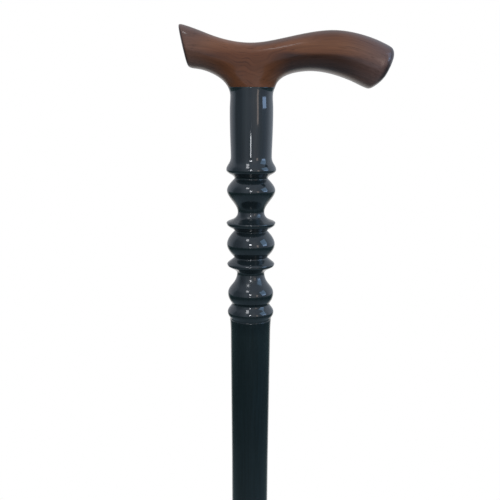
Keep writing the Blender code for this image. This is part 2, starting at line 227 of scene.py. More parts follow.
def black_sprayed_lacquer():
    """The lacquer of the column and the shaft."""
    made, tree = new_material("black_sprayed_lacquer")
    place = add_node(tree, "ShaderNodeTexCoord")["Object"]
    along = add_node(
        tree, "ShaderNodeMapping", {"Vector": place, "Scale": (1.0, 1.0, GRAIN_LINE_STRETCH)})["Vector"]
    grain = add_node(
        tree, "ShaderNodeTexNoise",
        {"Vector": along, "Scale": 1 / GRAIN_LINE_WIDTH, "Detail": 3.0, "Roughness": 0.6})["Fac"]
    peel = add_node(
        tree, "ShaderNodeTexNoise", {"Vector": place, "Scale": 1 / ORANGE_PEEL_WIDTH, "Detail": 1.0})["Fac"]
    wave = add_node(
        tree, "ShaderNodeTexNoise", {"Vector": place, "Scale": 1 / LATHE_WAVE_WIDTH, "Detail": 1.0})["Fac"]
    tone = add_node(tree, "ShaderNodeValToRGB", {"Fac": grain}, tone_stops(LACQUER_TONES))["Color"]
    gloss = add_node(
        tree, "ShaderNodeMapRange",
        {"Value": peel, "To Min": LACQUER_ROUGHNESS[0], "To Max": LACQUER_ROUGHNESS[1]})["Result"]
    waved = add_node(
        tree, "ShaderNodeBump", {"Height": wave, "Strength": 1.0, "Distance": LATHE_WAVE_DEPTH})["Normal"]
    peeled = add_node(
        tree, "ShaderNodeBump",
        {"Height": peel, "Strength": 1.0, "Distance": ORANGE_PEEL_DEPTH, "Normal": waved})["Normal"]
    lined = add_node(
        tree, "ShaderNodeBump",
        {"Height": grain, "Strength": 1.0, "Distance": GRAIN_LINE_DEPTH, "Normal": peeled})["Normal"]
    parts = add_node(tree, "ShaderNodeSeparateXYZ", {"Vector": place})
    flat = add_node(tree, "ShaderNodeCombineXYZ", {"X": parts["X"], "Y": parts["Y"]})["Vector"]
    from_axis = add_node(tree, "ShaderNodeVectorMath", {0: flat}, operation="LENGTH")["Value"]
    polish = add_node(
        tree, "ShaderNodeMapRange",
        {"Value": from_axis, "From Min": VALLEY_RADIUS, "From Max": CREST_RADIUS,
         "To Min": VALLEY_ROUGHNESS, "To Max": CREST_ROUGHNESS})["Result"]
    shader = add_node(
        tree, "ShaderNodeBsdfPrincipled",
        {"Base Color": tone, "Roughness": gloss, "IOR": 1.5, "Specular IOR Level": 0.08, "Normal": lined,
         "Coat Weight": 0.9, "Coat Roughness": polish, "Coat IOR": 1.5, "Coat Normal": peeled})["BSDF"]
    add_node(tree, "ShaderNodeOutputMaterial", {"Surface": shader})
    return made


# The column is drawn up through the gap that the frame keeps at the joint, to a hair line below the handle.
column_foot, column_top = (corner.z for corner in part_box("turned_column"))
seam_height = column_top + JOINT_GAP
black_lacquer = black_sprayed_lacquer()
column = turn("lacquered_column", [
    (0.0, column_top - COLUMN_TOP_SOCKET_DEPTH),
    (STUD_SOCKET_RADIUS, column_top - COLUMN_TOP_SOCKET_DEPTH),
    (STUD_SOCKET_RADIUS, seam_height - GLUE_LINE),
    (SEAM_RADIUS, seam_height - GLUE_LINE),
    *follow_cuts(SEAM_RADIUS, column_top, COLUMN_CUTS),
    (STUD_SOCKET_RADIUS, column_foot),
    (STUD_SOCKET_RADIUS, column_foot + COLUMN_FOOT_SOCKET_DEPTH),
    (0.0, column_foot + COLUMN_FOOT_SOCKET_DEPTH),
], black_lacquer)
flare = COLUMN_CUTS[0]
fair_to_handle(set_mesh(column), flare.radius * MM, column_top - flare.height * MM)
stands_for(column, "turned_column", "cane")

# Lower shaft: a plain tapering stick of the same hardwood under the same lacquer, glued to the foot of the
# column on a stud. Its tip is left bare, with a chamfer that starts it into the ferrule.
SHAFT_CUTS = (
    Cut("shoulder below the bottom bead", 10.0, 12.1, 0.10, 0.60),
    Cut("upper taper", 80.0, 11.35, 0.0, 0.0),
)
LONG_TAPER_SPACING = 12.0
SHAFT_SOCKET_DEPTH = 34 * MM
SHAFT_TIP_RADIUS = 9.0 * MM
SHAFT_TIP_CHAMFER = 1.0 * MM

# Sawn end grain of a pale hardwood, left bare: dull and light brown, with fine dark pores. Real ones are
# about 0.1 mm wide, and they are drawn coarser here, so that they show.
BARE_END_TONES = ((0.35, "#8a6a48"), (0.65, "#b8946a"))
END_PORE_WIDTH = 0.5 * MM
END_PORE_DEPTH = 0.05 * MM


def bare_end_grain():
    """The sawn wood of the shaft's tip."""
    made, tree = new_material("bare_hardwood_end_grain")
    place = add_node(tree, "ShaderNodeTexCoord")["Object"]
    pores = add_node(
        tree, "ShaderNodeTexNoise", {"Vector": place, "Scale": 1 / END_PORE_WIDTH, "Detail": 3.0})["Fac"]
    tone = add_node(tree, "ShaderNodeValToRGB", {"Fac": pores}, tone_stops(BARE_END_TONES))["Color"]
    dented = add_node(
        tree, "ShaderNodeBump", {"Height": pores, "Strength": 1.0, "Distance": END_PORE_DEPTH})["Normal"]
    shader = add_node(
        tree, "ShaderNodeBsdfPrincipled",
        {"Base Color": tone, "Roughness": 0.8, "IOR": 1.5, "Normal": dented})["BSDF"]
    add_node(tree, "ShaderNodeOutputMaterial", {"Surface": shader})
    return made


shaft_tip, shaft_top = (corner.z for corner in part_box("lower_shaft"))
shaft_outside = follow_cuts(SHAFT_TOP_RADIUS, shaft_top, SHAFT_CUTS)
taper_top_radius, taper_top = shaft_outside[-1]
taper_length = taper_top - shaft_tip - SHAFT_TIP_CHAMFER
long_taper = Cut("long taper", taper_length / MM, SHAFT_TIP_RADIUS / MM, 0.0, 0.0)
shaft_outside += cut_points(taper_top_radius, taper_top, long_taper, LONG_TAPER_SPACING)
shaft = turn("lacquered_shaft", [
    (0.0, shaft_top - SHAFT_SOCKET_DEPTH),
    (STUD_SOCKET_RADIUS, shaft_top - SHAFT_SOCKET_DEPTH),
    (STUD_SOCKET_RADIUS, column_foot - GLUE_LINE),
    (SHAFT_TOP_RADIUS, column_foot - GLUE_LINE),
    *shaft_outside,
    (SHAFT_TIP_RADIUS - SHAFT_TIP_CHAMFER, shaft_tip),
    (0.0, shaft_tip),
], black_lacquer)
shaft.data.materials.append(bare_end_grain())
bare = len(shaft.data.materials) - 1
for face in set_mesh(shaft).data.polygons:
    if face.center.z < shaft_tip + SHAFT_TIP_CHAMFER:
        face.material_index = bare
stands_for(shaft, "lower_shaft", "cane")

# Studs: two zinc plated steel rods with ring grooves that key the glue, one in the handle and one in the
# shaft. They are sealed inside, so the frame's own solids stay and only take their finish.

# Zinc plated or plain rolled steel: a pale grey metal with a satin shine and a faint mottle. The real mottle
# is too fine to see, and it is drawn coarser here.
MOTTLE_WIDTH = 0.8 * MM
STEEL_ROUGHNESS = (0.28, 0.42)


def mottled_steel(name, dark, light):
    """Steel as it comes plated or rolled, between a dark and a light tone."""
    made, tree = new_material(name)
    place = add_node(tree, "ShaderNodeTexCoord")["Object"]
    mottle = add_node(tree, "ShaderNodeTexVoronoi", {"Vector": place, "Scale": 1 / MOTTLE_WIDTH})["Distance"]
    tone = add_node(
        tree, "ShaderNodeValToRGB", {"Fac": mottle}, tone_stops(((0.0, light), (1.0, dark))))["Color"]
    gloss = add_node(
        tree, "ShaderNodeMapRange",
        {"Value": mottle, "To Min": STEEL_ROUGHNESS[0], "To Max": STEEL_ROUGHNESS[1]})["Result"]
    shader = add_node(
        tree, "ShaderNodeBsdfPrincipled", {"Base Color": tone, "Metallic": 1.0, "Roughness": gloss})["BSDF"]
    add_node(tree, "ShaderNodeOutputMaterial", {"Surface": shader})
    return made


def refinish(node, finish):
    """A CAD node keeps its shape and takes a new finish."""
    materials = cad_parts[node].data.materials
    materials.clear()
    materials.append(finish)


stud_steel = mottled_steel("zinc_plated_stud", "#8f9296", "#b4b7ba")
refinish("handle_stud", stud_steel)
refinish("shaft_stud", stud_steel)

# Handle: one piece of walnut, bandsawn to a T, carved and sanded round, and finished with a clear gloss
# lacquer. The bar is a row of sections, the stem grows out of its underside, and the nose ends in a flat
# slanting cut.

# One section across the bar: its top and its bottom, along from the shaft's axis and up from the seam, and
# half its width, all in millimetres.
Section = namedtuple("Section", "part top_x top_z bottom_x bottom_z half_width")
HANDLE_SECTIONS = (
    Section("nose cut", -42.6, 36.1, -36.9, 10.7, 9.8),
    Section("nose", -30.8, 32.3, -28.8, 10.1, 10.9),
    Section("stem, front", -18.3, 27.1, -21.3, 7.3, 11.5),
    Section("saddle", -0.3, 24.0, -0.3, 7.6, 12.2),
    Section("stem, back", 16.7, 27.4, 20.2, 7.7, 13.2),
    Section("arm", 32.7, 31.1, 33.7, 10.0, 14.0),
    Section("palm", 47.7, 32.9, 46.2, 8.0, 14.3),
    Section("arm, drooping", 61.7, 30.5, 57.7, 4.0, 13.8),
    Section("tail", 72.7, 26.8, 64.2, 0.5, 13.2),
    Section("tail end", 80.2, 22.9, 68.3, -0.8, 12.4),
    Section("tail crown", 82.5, 19.1, 77.0, 4.6, 9.6),
)
# Where the corners of a section's cage stand: 0.71 makes it an ellipse, and more makes it fuller.
FULLNESS = 0.80
NOSE_EDGE_ROUND = 2.4 * MM
TAIL_EDGE_CREASE = 0.35
SHARP = 1.0
SHOULDER_HALF_WIDTH = 13.1 * MM
THROAT_HALF_LENGTH = 15.3 * MM
THROAT_HALF_WIDTH = 12.7 * MM
THROAT_HEIGHT = 3.4 * MM
THROAT_OFFSET = -0.5 * MM
HANDLE_SOCKET_DEPTH = 17 * MM
RING_POINTS = 8
HANDLE_LEVELS = 4


def cage_growth(shoulder):
    """How far a ring's points stand outside the smooth surface, which averages each with its neighbours."""
    return 6.0 / (4.0 + 2.0 * shoulder)


def section_ring(shape, section):
    """The cage points round one section of the bar, starting on top and turning towards +Y."""
    top = Vector((section.top_x, 0.0, section.top_z)) * MM
    bottom = Vector((section.bottom_x, 0.0, section.bottom_z)) * MM
    centre = (top + bottom) / 2
    grow = cage_growth(FULLNESS)
    rise = (top - bottom) / 2 * grow
    side = Vector((0.0, section.half_width * MM * grow, 0.0))
    corners = (
        (0.0, 1.0), (FULLNESS, FULLNESS), (1.0, 0.0), (FULLNESS, -FULLNESS),
        (0.0, -1.0), (-FULLNESS, -FULLNESS), (-1.0, 0.0), (-FULLNESS, FULLNESS),
    )
    return [shape.verts.new(centre + side * across + rise * up) for across, up in corners]


def stem_ring(shape, half_length, half_width, height, offset=0.0):
    """The cage points round the stem, starting at the nose side and turning through +Y."""
    grow = cage_growth(math.cos(math.tau / RING_POINTS))
    ring = []
    for number in range(RING_POINTS):
        angle = math.pi - number * math.tau / RING_POINTS
        along = offset + half_length * grow * math.cos(angle)
        ring.append(shape.verts.new((along, half_width * grow * math.sin(angle), height)))
    return ring


def skin(shape, first, second, skipped=()):
    """Faces between two rings of points that run the same way round."""
    for number, (near, far) in enumerate(zip(first, second)):
        if number not in skipped:
            after = (number + 1) % len(first)
            shape.faces.new((near, first[after], second[after], far))


def edges_round(shape, ring):
    """The edges that join a ring's points to each other."""
    return [shape.edges.get(ends) for ends in zip(ring, ring[1:] + ring[:1])]


def carve_handle():
    """The cage of the handle, smoothed, with the stud's socket in the foot of its stem."""
    shape = bmesh.new()
    crease = shape.edges.layers.float.new("crease_edge")
    parts = [section.part for section in HANDLE_SECTIONS]
    rings = [section_ring(shape, section) for section in HANDLE_SECTIONS]
    first, last = parts.index("stem, front"), parts.index("stem, back")
    # Places in a section's ring: low on the far side, straight below, and low on the near side. The faces
    # between them are left out where the stem joins.
    far, under, near = 3, 4, 5
    for number, (ring, following) in enumerate(zip(rings, rings[1:])):
        skin(shape, following, ring, (far, under) if first <= number < last else ())
    front, middle, back = rings[first], rings[parts.index("saddle")], rings[last]
    mouth = [
        front[under], front[far], middle[far], back[far],
        back[under], back[near], middle[near], front[near],
    ]
    shape.verts.remove(middle[under])
    middle[far].co.y = SHOULDER_HALF_WIDTH
    middle[near].co.y = -SHOULDER_HALF_WIDTH
    throat = stem_ring(shape, THROAT_HALF_LENGTH, THROAT_HALF_WIDTH, THROAT_HEIGHT, THROAT_OFFSET)
    seam = stem_ring(shape, SEAM_RADIUS, SEAM_HALF_WIDTH, 0.0)
    socket_mouth = stem_ring(shape, STUD_SOCKET_RADIUS, STUD_SOCKET_RADIUS, 0.0)
    socket_floor = stem_ring(shape, STUD_SOCKET_RADIUS, STUD_SOCKET_RADIUS, HANDLE_SOCKET_DEPTH)
    down_the_stem = (mouth, throat, seam, socket_mouth, socket_floor)
    for upper, lower in zip(down_the_stem, down_the_stem[1:]):
        skin(shape, upper, lower)
    shape.faces.new(rings[0])
    shape.faces.new(list(reversed(rings[-1])))
    shape.faces.new(socket_floor)
    for ring, amount in (
            (rings[-2], TAIL_EDGE_CREASE), (seam, SHARP), (socket_mouth, SHARP), (socket_floor, SHARP)):
        for edge in edges_round(shape, ring):
            edge[crease] = amount
    bmesh.ops.bevel(
        shape, geom=edges_round(shape, rings[0]), offset=NOSE_EDGE_ROUND, segments=2, profile=0.5,
        affect="EDGES")
    bmesh.ops.recalc_face_normals(shape, faces=shape.faces)
    piece = place_piece("walnut_handle", shape)
    piece.data.shade_smooth()
    smooth = piece.modifiers.new("Smooth form", "SUBSURF")
    smooth.levels = HANDLE_LEVELS
    smooth.render_levels = HANDLE_LEVELS
    return set_mesh(piece)


# Walnut, sanded fine, under a clear gloss lacquer: warm brown layers that run along the bar, with a dark
# heart streak under the arm, and a soft shine. The colours follow the distance from the pith, which runs
# along the bar far below it and a little behind, and the taper arches them a little along the bar.
# Distances in the two tables are millimetres.
PITH_DEPTH = 62 * MM
PITH_BEHIND = 18 * MM
PITH_TAPER = 0.06
# The last two stops lie along the top of the bar and darken it as painted shade.
WOOD_LAYERS_AND_TOP_SHADE = (
    (60, "#78472d"), (72, "#70432a"), (86, "#714126"), (91, "#7e4f32"), (94.5, "#6a4027"), (98, "#472b1b"),
    (108, "#3f2618"))
STREAK_TONE = "#432b22"
STREAK_INNER = (73 * MM, 77 * MM)
STREAK_OUTER = (85.4 * MM, 88.2 * MM)
STREAK_SHARE = ((-42, 0.55), (-22, 0.42), (-12, 0.10), (8, 0.10), (22, 1.0), (54, 1.0), (72, 0.4))

# The grain lines sag where the stem joins, with a curl that makes the sag uneven, droop with the arm, and
# drift a little on their way.
SAG_DEPTH = 9 * MM
SAG_REACH = 17 * MM
CURL_WIDTH = 13 * MM
CURL_SHARE = 0.65
DROOP_START = 46 * MM
DROOP_RADIUS = 50 * MM
DRIFT_WIDTH = 24 * MM
DRIFT_STRETCH = 0.30
DRIFT_REACH = 7 * MM

# The layers fade to greyer tones where the grain runs out at the nose and the tail, and at the tail that grey
# is also a painted reflection of the window. Faces round the saddle that look up are darkened as painted
# shade, and the end grain of both cut ends is darker, partly by the lacquer that it soaks up and partly as a
# painted dark reflection.
RUN_OUT_CENTRE = 16 * MM
RUN_OUT_START = 30 * MM
RUN_OUT_END = 62 * MM
RUN_OUT_SHARE = 0.6
NOSE_TONE = "#7e6054"
# Towards the tail the grey tone is also a painted reflection of the window on the wood.
TAIL_TONE_AND_WINDOW_SHEEN = "#665552"
TAIL_START = 34 * MM
TAIL_END = 60 * MM
# Painted shade: faces that look up round the saddle are darkened, for less light from above.
TOP_SHADE_TONE = "#3a2a22"
TOP_SHADE_CENTRE = 14 * MM
TOP_SHADE_REACH = 34 * MM
TOP_SHADE_SHARE = 0.60
TOP_SHADE_UPWARD = (0.55, 0.95)
# The end grain tone is partly lacquer soaked up and partly a painted dark reflection on the cut ends.
END_GRAIN_AND_REFLECTION_TONE = "#2c2022"
END_GRAIN_AND_REFLECTION_SHARE = 1.35
END_GRAIN_AND_REFLECTION_FACING = (0.30, 0.65)

# Growth lines at their real width. Walnut's fibres and pores are 0.1 to 0.2 mm wide, and both are drawn
# coarser here, so that they show. The noise span is the range that most of a noise keeps to.
LINE_WIDTH = 2.0 * MM
LINE_CONTRAST = 0.10
FIBRE_WIDTH = 0.5 * MM
FIBRE_STRETCH = 0.08
FIBRE_CONTRAST = 0.12
FIBRE_DEPTH = 0.01 * MM
PORE_WIDTH = 0.45 * MM
PORE_TONE = "#2a170f"
PORE_EDGE = (0.62, 0.74)
PORE_SHARE = 0.5
NOISE_SPAN = (0.3, 0.7)
WALNUT_ROUGHNESS = (0.30, 0.45)

# The colour sockets of a Mix node go by their places, because their names are also those of number sockets.
FIRST, SECOND, MIXED = 6, 7, 2


def grain_course(tree, place, parts):
    """Where each point lies in the straightened grain, and how far the lines sag there round the stem."""
    from_stem = add_node(tree, "ShaderNodeMath", {0: parts["X"], 1: SAG_REACH}, operation="DIVIDE")[0]
    squared = add_node(tree, "ShaderNodeMath", {0: from_stem, 1: from_stem}, operation="MULTIPLY")[0]
    fall = add_node(tree, "ShaderNodeMath", {0: squared, 1: -1.0}, operation="MULTIPLY")[0]
    bell = add_node(tree, "ShaderNodeMath", {0: fall}, operation="EXPONENT")[0]
    even = add_node(tree, "ShaderNodeMath", {0: bell, 1: SAG_DEPTH}, operation="MULTIPLY")[0]
    curl = add_node(
        tree, "ShaderNodeTexNoise", {"Vector": place, "Scale": 1 / CURL_WIDTH, "Detail": 1.0})["Fac"]
    uneven = add_node(
        tree, "ShaderNodeMapRange", {"Value": curl, "To Min": 1 - CURL_SHARE, "To Max": 1 + CURL_SHARE})[0]
    sag = add_node(tree, "ShaderNodeMath", {0: even, 1: uneven}, operation="MULTIPLY")[0]
    beyond = add_node(tree, "ShaderNodeMath", {0: parts["X"], 1: DROOP_START}, operation="SUBTRACT")[0]
    in_arm = add_node(tree, "ShaderNodeMath", {0: beyond, 1: 0.0}, operation="MAXIMUM")[0]
    bend = add_node(tree, "ShaderNodeMath", {0: in_arm, 1: in_arm}, operation="MULTIPLY")[0]
    droop = add_node(tree, "ShaderNodeMath", {0: bend, 1: 1 / (2 * DROOP_RADIUS)}, operation="MULTIPLY")[0]
    raised = add_node(tree, "ShaderNodeMath", {0: sag, 1: droop}, operation="ADD")[0]
    height = add_node(tree, "ShaderNodeMath", {0: raised, 1: parts["Z"]}, operation="ADD")[0]
    along = add_node(tree, "ShaderNodeMath", {0: parts["X"], 1: DRIFT_STRETCH}, operation="MULTIPLY")[0]
    level = add_node(tree, "ShaderNodeCombineXYZ", {"X": along, "Y": parts["Y"], "Z": height})["Vector"]
    drift = add_node(
        tree, "ShaderNodeTexNoise", {"Vector": level, "Scale": 1 / DRIFT_WIDTH, "Detail": 2.0})["Color"]
    centred = add_node(tree, "ShaderNodeVectorMath", {0: drift, 1: (0.5, 0.5, 0.5)}, operation="SUBTRACT")[0]
    push = add_node(tree, "ShaderNodeVectorMath", {0: centred, "Scale": DRIFT_REACH}, operation="SCALE")[0]
    course = add_node(tree, "ShaderNodeVectorMath", {0: level, 1: push}, operation="ADD")[0]
    return course, sag


def heartwood_and_top_shade(tree, depth, along):
    """The layers by their distance from the pith, darkened along the top as painted shade, with the heart
    streak at its share along the bar.
    """
    inner, outer = WOOD_LAYERS_AND_TOP_SHADE[0][0], WOOD_LAYERS_AND_TOP_SHADE[-1][0]
    between = add_node(
        tree, "ShaderNodeMapRange", {"Value": depth, "From Min": inner * MM, "From Max": outer * MM})[0]
    layers = add_node(
        tree, "ShaderNodeValToRGB", {"Fac": between}, tone_stops(WOOD_LAYERS_AND_TOP_SHADE, inner, outer))["Color"]
    begun = add_node(
        tree, "ShaderNodeMapRange",
        {"Value": depth, "From Min": STREAK_INNER[0], "From Max": STREAK_INNER[1]},
        interpolation_type="SMOOTHSTEP")[0]
    left = add_node(
        tree, "ShaderNodeMapRange",
        {"Value": depth, "From Min": STREAK_OUTER[0], "From Max": STREAK_OUTER[1],
         "To Min": 1.0, "To Max": 0.0},
        interpolation_type="SMOOTHSTEP")[0]
    within = add_node(tree, "ShaderNodeMath", {0: begun, 1: left}, operation="MULTIPLY")[0]
    nose, tail = STREAK_SHARE[0][0], STREAK_SHARE[-1][0]
    from_nose = add_node(
        tree, "ShaderNodeMapRange", {"Value": along, "From Min": nose * MM, "From Max": tail * MM})[0]
    shares = [((distance - nose) / (tail - nose), [share] * 3 + [1.0]) for distance, share in STREAK_SHARE]
    strength = add_node(tree, "ShaderNodeValToRGB", {"Fac": from_nose}, shares)["Color"]
    streak = add_node(tree, "ShaderNodeMath", {0: within, 1: strength}, operation="MULTIPLY")[0]
    return add_node(
        tree, "ShaderNodeMix", {"Factor": streak, FIRST: layers, SECOND: srgb(STREAK_TONE)},
        data_type="RGBA")[MIXED]


def run_out_end_grain_and_painted_light(tree, colour, along):
    """The wood's colour, greyer towards nose and tail with the window's reflection painted at the tail,
    darker as painted shade where it faces up round the saddle, and darker on the end grain, partly as painted
    reflection.
    """
    offset = add_node(tree, "ShaderNodeMath", {0: along, 1: RUN_OUT_CENTRE}, operation="SUBTRACT")[0]
    from_middle = add_node(tree, "ShaderNodeMath", {0: offset}, operation="ABSOLUTE")[0]
    towards_ends = add_node(
        tree, "ShaderNodeMapRange",
        {"Value": from_middle, "From Min": RUN_OUT_START, "From Max": RUN_OUT_END, "To Max": RUN_OUT_SHARE},
        interpolation_type="SMOOTHSTEP")[0]
    # Painted reflection: towards the tail the grey also stands for the window mirrored in the lacquer.
    at_tail = add_node(
        tree, "ShaderNodeMapRange", {"Value": along, "From Min": TAIL_START, "From Max": TAIL_END},
        interpolation_type="SMOOTHSTEP")[0]
    grey_and_window_sheen = add_node(
        tree, "ShaderNodeMix", {"Factor": at_tail, FIRST: srgb(NOSE_TONE), SECOND: srgb(TAIL_TONE_AND_WINDOW_SHEEN)},
        data_type="RGBA")[MIXED]
    faded = add_node(
        tree, "ShaderNodeMix", {"Factor": towards_ends, FIRST: colour, SECOND: grey_and_window_sheen}, data_type="RGBA")[MIXED]
    normal = add_node(tree, "ShaderNodeTexCoord")["Normal"]
    facing = add_node(tree, "ShaderNodeSeparateXYZ", {"Vector": normal})
    # Painted shade: faces that look up round the saddle are darkened, for less light from above.
    offset = add_node(tree, "ShaderNodeMath", {0: along, 1: TOP_SHADE_CENTRE}, operation="SUBTRACT")[0]
    from_shade_centre = add_node(tree, "ShaderNodeMath", {0: offset}, operation="ABSOLUTE")[0]
    near_shade_centre = add_node(
        tree, "ShaderNodeMapRange",
        {"Value": from_shade_centre, "From Max": TOP_SHADE_REACH, "To Min": 1.0, "To Max": 0.0},
        interpolation_type="SMOOTHSTEP")[0]
    upward = add_node(
        tree, "ShaderNodeMapRange",
        {"Value": facing["Z"], "From Min": TOP_SHADE_UPWARD[0], "From Max": TOP_SHADE_UPWARD[1],
         "To Max": TOP_SHADE_SHARE},
        interpolation_type="SMOOTHSTEP")[0]
    top_shade = add_node(tree, "ShaderNodeMath", {0: near_shade_centre, 1: upward}, operation="MULTIPLY")[0]
    darkened = add_node(
        tree, "ShaderNodeMix", {"Factor": top_shade, FIRST: faded, SECOND: srgb(TOP_SHADE_TONE)},
        data_type="RGBA")[MIXED]
    # Darker end grain: partly soaked-up lacquer, partly a painted dark reflection of the room on the cut
    # ends.
    endwise = add_node(tree, "ShaderNodeMath", {0: facing["X"]}, operation="ABSOLUTE")[0]
    cut_across = add_node(
        tree, "ShaderNodeMapRange",
        {"Value": endwise, "From Min": END_GRAIN_AND_REFLECTION_FACING[0], "From Max": END_GRAIN_AND_REFLECTION_FACING[1],
         "To Max": END_GRAIN_AND_REFLECTION_SHARE},
        interpolation_type="SMOOTHSTEP")[0]
    end_grain_and_reflection = add_node(tree, "ShaderNodeMath", {0: cut_across, 1: towards_ends}, operation="MULTIPLY")[0]
    return add_node(
        tree, "ShaderNodeMix", {"Factor": end_grain_and_reflection, FIRST: darkened, SECOND: srgb(END_GRAIN_AND_REFLECTION_TONE)},
        data_type="RGBA")[MIXED]


def clear_lacquered_walnut():
    """The wood of the handle, with its growth lines, fibres and pores under the lacquer."""
    made, tree = new_material("clear_lacquered_walnut")
    place = add_node(tree, "ShaderNodeTexCoord")["Object"]
    parts = add_node(tree, "ShaderNodeSeparateXYZ", {"Vector": place})
    course, sag = grain_course(tree, place, parts)
    tapered = add_node(
        tree, "ShaderNodeVectorMath", {0: course, 1: (PITH_TAPER, 1.0, 1.0)}, operation="MULTIPLY")[0]
    from_pith = add_node(
        tree, "ShaderNodeVectorMath", {0: tapered, 1: (0.0, PITH_BEHIND, -PITH_DEPTH)},
        operation="DISTANCE")["Value"]
    depth = add_node(tree, "ShaderNodeMath", {0: from_pith, 1: sag}, operation="SUBTRACT")[0]
    colour = run_out_end_grain_and_painted_light(tree, heartwood_and_top_shade(tree, depth, parts["X"]), parts["X"])
    lines = add_node(
        tree, "ShaderNodeTexNoise",
        {"W": from_pith, "Scale": 1 / LINE_WIDTH, "Detail": 3.0, "Roughness": 0.6},
        noise_dimensions="1D")["Fac"]
    line_tone = add_node(
        tree, "ShaderNodeMapRange",
        {"Value": lines, "From Min": NOISE_SPAN[0], "From Max": NOISE_SPAN[1],
         "To Min": 1 - LINE_CONTRAST, "To Max": 1 + LINE_CONTRAST})[0]
    stretched = add_node(
        tree, "ShaderNodeMapping", {"Vector": course, "Scale": (FIBRE_STRETCH, 1.0, 1.0)})["Vector"]
    fibres = add_node(
        tree, "ShaderNodeTexNoise",
        {"Vector": stretched, "Scale": 1 / FIBRE_WIDTH, "Detail": 3.0, "Roughness": 0.6})["Fac"]
    fibre_tone = add_node(
        tree, "ShaderNodeMapRange",
        {"Value": fibres, "From Min": NOISE_SPAN[0], "From Max": NOISE_SPAN[1],
         "To Min": 1 - FIBRE_CONTRAST, "To Max": 1 + FIBRE_CONTRAST})[0]
    tone = add_node(tree, "ShaderNodeMath", {0: line_tone, 1: fibre_tone}, operation="MULTIPLY")[0]
    figured = add_node(tree, "ShaderNodeVectorMath", {0: colour, "Scale": tone}, operation="SCALE")[0]
    pores = add_node(
        tree, "ShaderNodeTexNoise", {"Vector": stretched, "Scale": 1 / PORE_WIDTH, "Detail": 1.0})["Fac"]
    in_pore = add_node(
        tree, "ShaderNodeMapRange",
        {"Value": pores, "From Min": PORE_EDGE[0], "From Max": PORE_EDGE[1], "To Max": PORE_SHARE})[0]
    pored = add_node(
        tree, "ShaderNodeMix", {"Factor": in_pore, FIRST: figured, SECOND: srgb(PORE_TONE)},
        data_type="RGBA")[MIXED]
    dented = add_node(
        tree, "ShaderNodeBump", {"Height": fibres, "Strength": 1.0, "Distance": FIBRE_DEPTH})["Normal"]
    gloss = add_node(
        tree, "ShaderNodeMapRange",
        {"Value": fibres, "To Min": WALNUT_ROUGHNESS[0], "To Max": WALNUT_ROUGHNESS[1]})[0]
    shader = add_node(
        tree, "ShaderNodeBsdfPrincipled",
        {"Base Color": pored, "Roughness": gloss, "IOR": 1.5, "Specular IOR Level": 0.1, "Normal": dented,
         "Coat Weight": 0.42, "Coat Roughness": 0.12, "Coat IOR": 1.5})["BSDF"]
    add_node(tree, "ShaderNodeOutputMaterial", {"Surface": shader})
    return made


handle = carve_handle()
handle.location.z = seam_height
handle.data.materials.append(clear_lacquered_walnut())
stands_for(handle, "handle", "cane")

# Ferrule: a cup of black rubber, moulded in one piece with a rolled lip, grip rings, a belled foot and a
# tread of rings cut by radial channels, and pushed on the shaft. A stamped steel washer lies on the floor
# of its socket.
FERRULE_SOLE = 8.0 * MM
FERRULE_WALL = 2.7 * MM
FERRULE_CLEARANCE = 0.35 * MM
MOUTH_ROUND = 0.6 * MM
LIP_HEIGHT = 4.0 * MM
LIP_PROUD = 1.2 * MM
GRIP_RINGS = 3
GRIP_RING_PITCH = 3.6 * MM
GRIP_RING_PROUD = 0.5 * MM
GRIP_RING_STEPS = 6
LIP_STEPS = 8
EDGE_STEPS = 6
BELL_LEAD = 0.75
BELL_SETTLE = 0.15
FOOT_BAND_HEIGHT = 5.0 * MM
FOOT_EDGE_ROUND = 1.0 * MM
TREAD_RINGS = 2
TREAD_PITCH = 5.2 * MM
TREAD_GROOVE_WIDTH = 2.0 * MM
TREAD_GROOVE_DEPTH = 1.4 * MM
TREAD_GROOVE_DRAFT = 0.2 * MM
TREAD_RIM_WIDTH = 2.6 * MM
TREAD_CHANNELS = 16
CHANNEL_WIDTH = 1.8 * MM
FERRULE_STEPS = 192

# Carbon-filled rubber from a spark-eroded mould: matt and very dark grey, with patches of pale bloom. The
# grit of such a mould is under 0.1 mm wide, and it is drawn coarser here, so that it shows.
RUBBER_TONES = ((0.35, "#17181a"), (0.75, "#25272a"))
RUBBER_ROUGHNESS = (0.55, 0.78)
BLOOM_WIDTH = 25 / 3 * MM
SPARK_GRIT_WIDTH = 0.5 * MM
SPARK_GRIT_DEPTH = 0.05 * MM


def arc(centre_radius, centre_height, size, start, end, count):
    """Points round part of a circle in the profile's plane, by angles in degrees."""
    points = []
    for number in range(count + 1):
        angle = math.radians(start + (end - start) * number / count)
        points.append((centre_radius + size * math.cos(angle), centre_height + size * math.sin(angle)))
    return points


